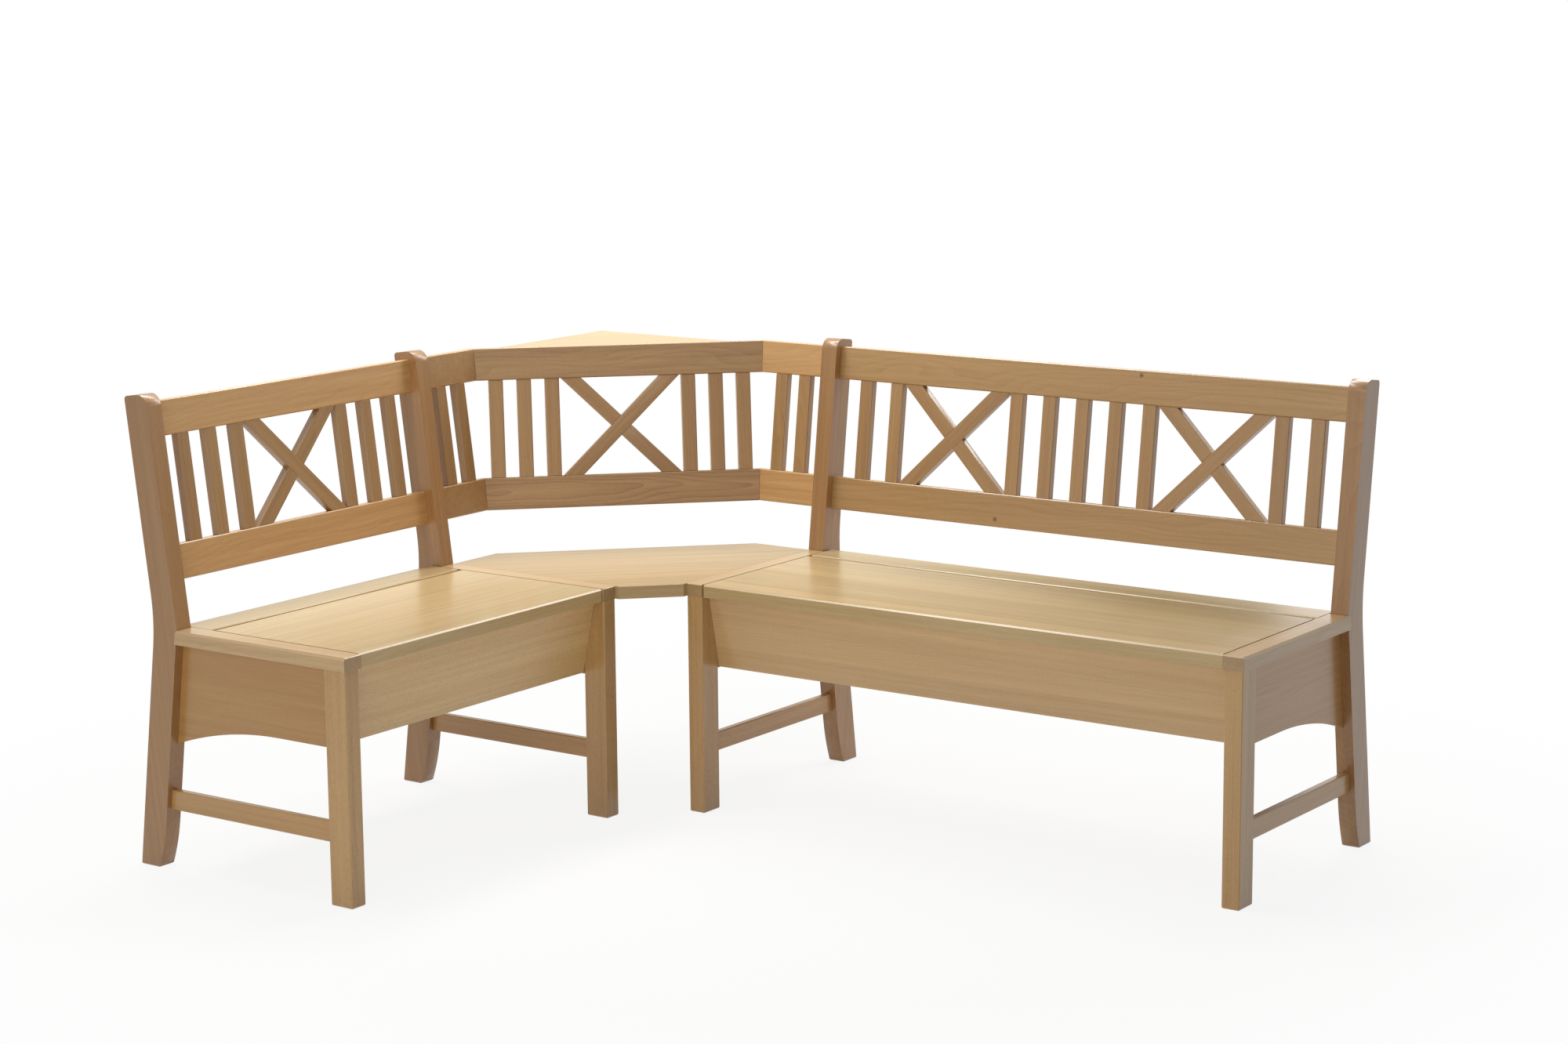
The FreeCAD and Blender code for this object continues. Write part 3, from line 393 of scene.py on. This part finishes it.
diagonal = (1, 1, 0)
room = (1, -1, 0)
top_rail_early = "C39C6A"
top_rail_late = "95714B"
lively_early = "BC9766"
lively_late = "916A40"
side_rail_beech = lacquered_beech("beech_satin_lacquer_corner_side_rails", (1, 0, 0), (0, -1, 0),
                                  rail_early, rail_late)
top_rail_beech = lacquered_beech("beech_satin_lacquer_corner_top_rail", diagonal, room,
                                 top_rail_early, top_rail_late)
lively_beech = lacquered_beech("beech_flat_sawn_corner_lower_rail", diagonal, room, lively_early, lively_late,
                               heart=(-0.66, 0.44, 0.56), figure=2.0)
corner_slat_beech = lacquered_beech("beech_satin_lacquer_corner_slats", diagonal_up, room,
                                    slat_early, slat_late)
dress("corner_short_top_rails", side_rail_beech)
dress("corner_short_lower_rails", side_rail_beech)
dress("corner_diagonal_top_rail", top_rail_beech)
dress("corner_diagonal_lower_rail", lively_beech)
dress("corner_slats", corner_slat_beech)
for layer, rising in (("front", True), ("rear", False)):
    bar_beech = lacquered_beech("beech_satin_lacquer_corner_%s_bar" % layer,
                                bar_way(Vector(diagonal).normalized(), diagonal_up, rising), room,
                                slat_early, slat_late)
    dress("corner_%s_cross_bar" % layer, bar_beech)

# Corner seat and its bearers
# A six-sided board of beech staves 72 mm wide laid across the corner, level with the lids. It lies
# on two beech bearers along the inner ends of the benches.

corner_seat_early = "C3A36F"
corner_seat_late = "A5824E"
corner_seat_beech = lacquered_beech("beech_stave_board_corner_seat", diagonal, (0, 0, 1),
                                    corner_seat_early, corner_seat_late, staves=(72, 20), figure=0.6)
bearer_beech = lacquered_beech("beech_satin_lacquer_bearers", (0, 1, 0), (0, 0, 1), honey, brown_honey)
dress("corner_seat", corner_seat_beech)
dress("corner_seat_bearers", bearer_beech)

# Corner shelf and its cleat
# A three-cornered shelf of beech staves closes the corner behind the backrest, on a cleat
# behind the diagonal rail.

shelf_beech = lacquered_beech("beech_stave_board_shelf", diagonal, (0, 0, 1), seat_early, seat_late,
                              staves=(72, 0), figure=0.8)
shelf_cleat_beech = lacquered_beech("beech_satin_lacquer_shelf_cleat", diagonal, (0, 0, 1),
                                    honey, brown_honey)
dress("corner_shelf", shelf_beech)
dress("corner_shelf_cleat", shelf_cleat_beech)

# Studio floor and surroundings
# A sheet of matt white paper, which scatters light evenly and shows only the soft shadow, runs out
# to white surroundings.


def shown_white(tree):
    """1 for rays from the camera, off a shiny surface or through glass, and 0 for lighting rays."""
    path = add(tree, "LightPath", {})
    seen = add(tree, "Math", {0: path.outputs["Is Camera Ray"], 1: path.outputs["Is Glossy Ray"]},
               operation="MAXIMUM")
    return add(tree, "Math", {0: seen.outputs[0], 1: path.outputs["Is Transmission Ray"]},
               operation="MAXIMUM")


bpy.ops.mesh.primitive_plane_add(size=60)
floor = bpy.context.object
floor.name = "studio_floor"
# The floor keeps the object's soft shadow and turns fully white 2 m from the middle.
shadow_until = 0.9
white_from = 2.0
least_white = 0.88
paper, tree = empty_material("paper_matt_white")
seen = shown_white(tree)
ground = add(tree, "TexCoord", {})
away = add(tree, "VectorMath", {0: ground.outputs["Object"]}, operation="LENGTH")
share = add(tree, "MapRange", {"Value": away.outputs["Value"], 1: shadow_until, 2: white_from,
                               3: least_white, 4: 1.0})
seen = add(tree, "Math", {0: seen.outputs[0], 1: share.outputs[0]}, operation="MULTIPLY")
matt = add(tree, "BsdfDiffuse", {"Color": linear("EDEBE6")})
glow = add(tree, "Emission", {"Color": linear("FFFFFF"), "Strength": 1.0})
both = add(tree, "MixShader", {0: seen.outputs[0], 1: matt.outputs[0], 2: glow.outputs[0]})
add(tree, "OutputMaterial", {"Surface": both.outputs[0]})
floor.data.materials.append(paper)

world = bpy.data.worlds.new("studio_surroundings")
bpy.context.scene.world = world
world.use_nodes = True
tree = world.node_tree
tree.nodes.clear()
seen = shown_white(tree)
dim = add(tree, "Background", {"Color": linear("FFFDFA"), "Strength": 0.12})
white = add(tree, "Background", {"Color": linear("FFFFFF"), "Strength": 1.0})
both = add(tree, "MixShader", {0: seen.outputs[0], 1: dim.outputs[0], 2: white.outputs[0]})
add(tree, "OutputWorld", {"Surface": both.outputs[0]})

# Studio lamps and painted reflection card
# Four cloth-fronted lamps give soft light from the front, from above and from behind. A glowing card
# behind the benches lights nothing and only reflections see it: it paints a warm reflection into the lacquer.

# Name, place and size in metres, and watts. Each lamp faces the middle of the object.
lamps = (("front_softbox", (0.6, -3.8, 1.6), (3.2, 3.2), 46),
         ("lid_strip_light", (-1.1, -0.45, 2.85), (1.6, 0.6), 34),
         ("rail_strip_light", (-1.0, 0.8, 2.8), (1.6, 0.6), 34),
         ("short_bench_softbox", (0.15, 1.9, 2.2), (0.9, 1.6), 28))
middle = Vector((0, 0, 0.45))
for name, spot, size, watts in lamps:
    lamp = bpy.data.lights.new(name, "AREA")
    lamp.shape = "RECTANGLE"
    lamp.size, lamp.size_y = size
    lamp.energy = watts
    stand = bpy.data.objects.new(name, lamp)
    stand.location = spot
    stand.rotation_euler = (middle - Vector(spot)).to_track_quat("-Z", "Y").to_euler()
    bpy.context.scene.collection.objects.link(stand)

# This card glows but is no lamp: it is a painted reflection, seen only in the lacquer's sheen.
bpy.ops.mesh.primitive_plane_add(size=1, location=(-2.325, 2.6, 1.1), rotation=(math.radians(90), 0, 0))
reflection_card = bpy.context.object
reflection_card.name = "backdrop_card"
reflection_card.scale = (4.15, 2.2, 1)
reflection_card.visible_camera = False
reflection_card.visible_diffuse = False
reflection_card.visible_transmission = False
reflection_card.visible_shadow = False
# The card's glow is painted bright at the left and fades to dark towards the right, a painted reflection
# that is bright on the left of the seats and dark on the right. Places are shares of the card's width,
# counted from its middle.
fade_from = 0.19
fade_to = 0.40
painted_bright = 1.0
painted_dark = 0.05
painted_reflection_glow, tree = empty_material("painted_reflection_warm_white")
card_place = add(tree, "TexCoord", {})
card_place = add(tree, "SeparateXYZ", {"Vector": card_place.outputs["Object"]})
painted_fade = add(tree, "MapRange", {"Value": card_place.outputs[0], 1: fade_from, 2: fade_to, 3: painted_bright, 4: painted_dark})
painted_glow_shader = add(tree, "Emission", {"Color": linear("FFF6E2"), "Strength": painted_fade.outputs[0]})
add(tree, "OutputMaterial", {"Surface": painted_glow_shader.outputs[0]})
reflection_card.data.materials.append(painted_reflection_glow)

# Camera
# It stands at the height and angle of the photograph, looking a little down on the benches from
# the front right.

heading = math.radians(125.47 - 90)
tilt = math.radians(90 - 10.24)
roll = math.radians(-0.50)
lens = bpy.data.cameras.new("photo_camera")
lens.sensor_width = 36.0
lens.lens = 74.87
camera = bpy.data.objects.new("photo_camera", lens)
camera.location = (3.4123, -4.7036, 1.6707)
turned = Matrix.Rotation(heading, 3, "Z") @ Matrix.Rotation(tilt, 3, "X") @ Matrix.Rotation(roll, 3, "Z")
camera.rotation_euler = turned.to_euler()
bpy.context.scene.collection.objects.link(camera)
bpy.context.scene.camera = camera
bpy.context.scene.view_settings.view_transform = "Standard"
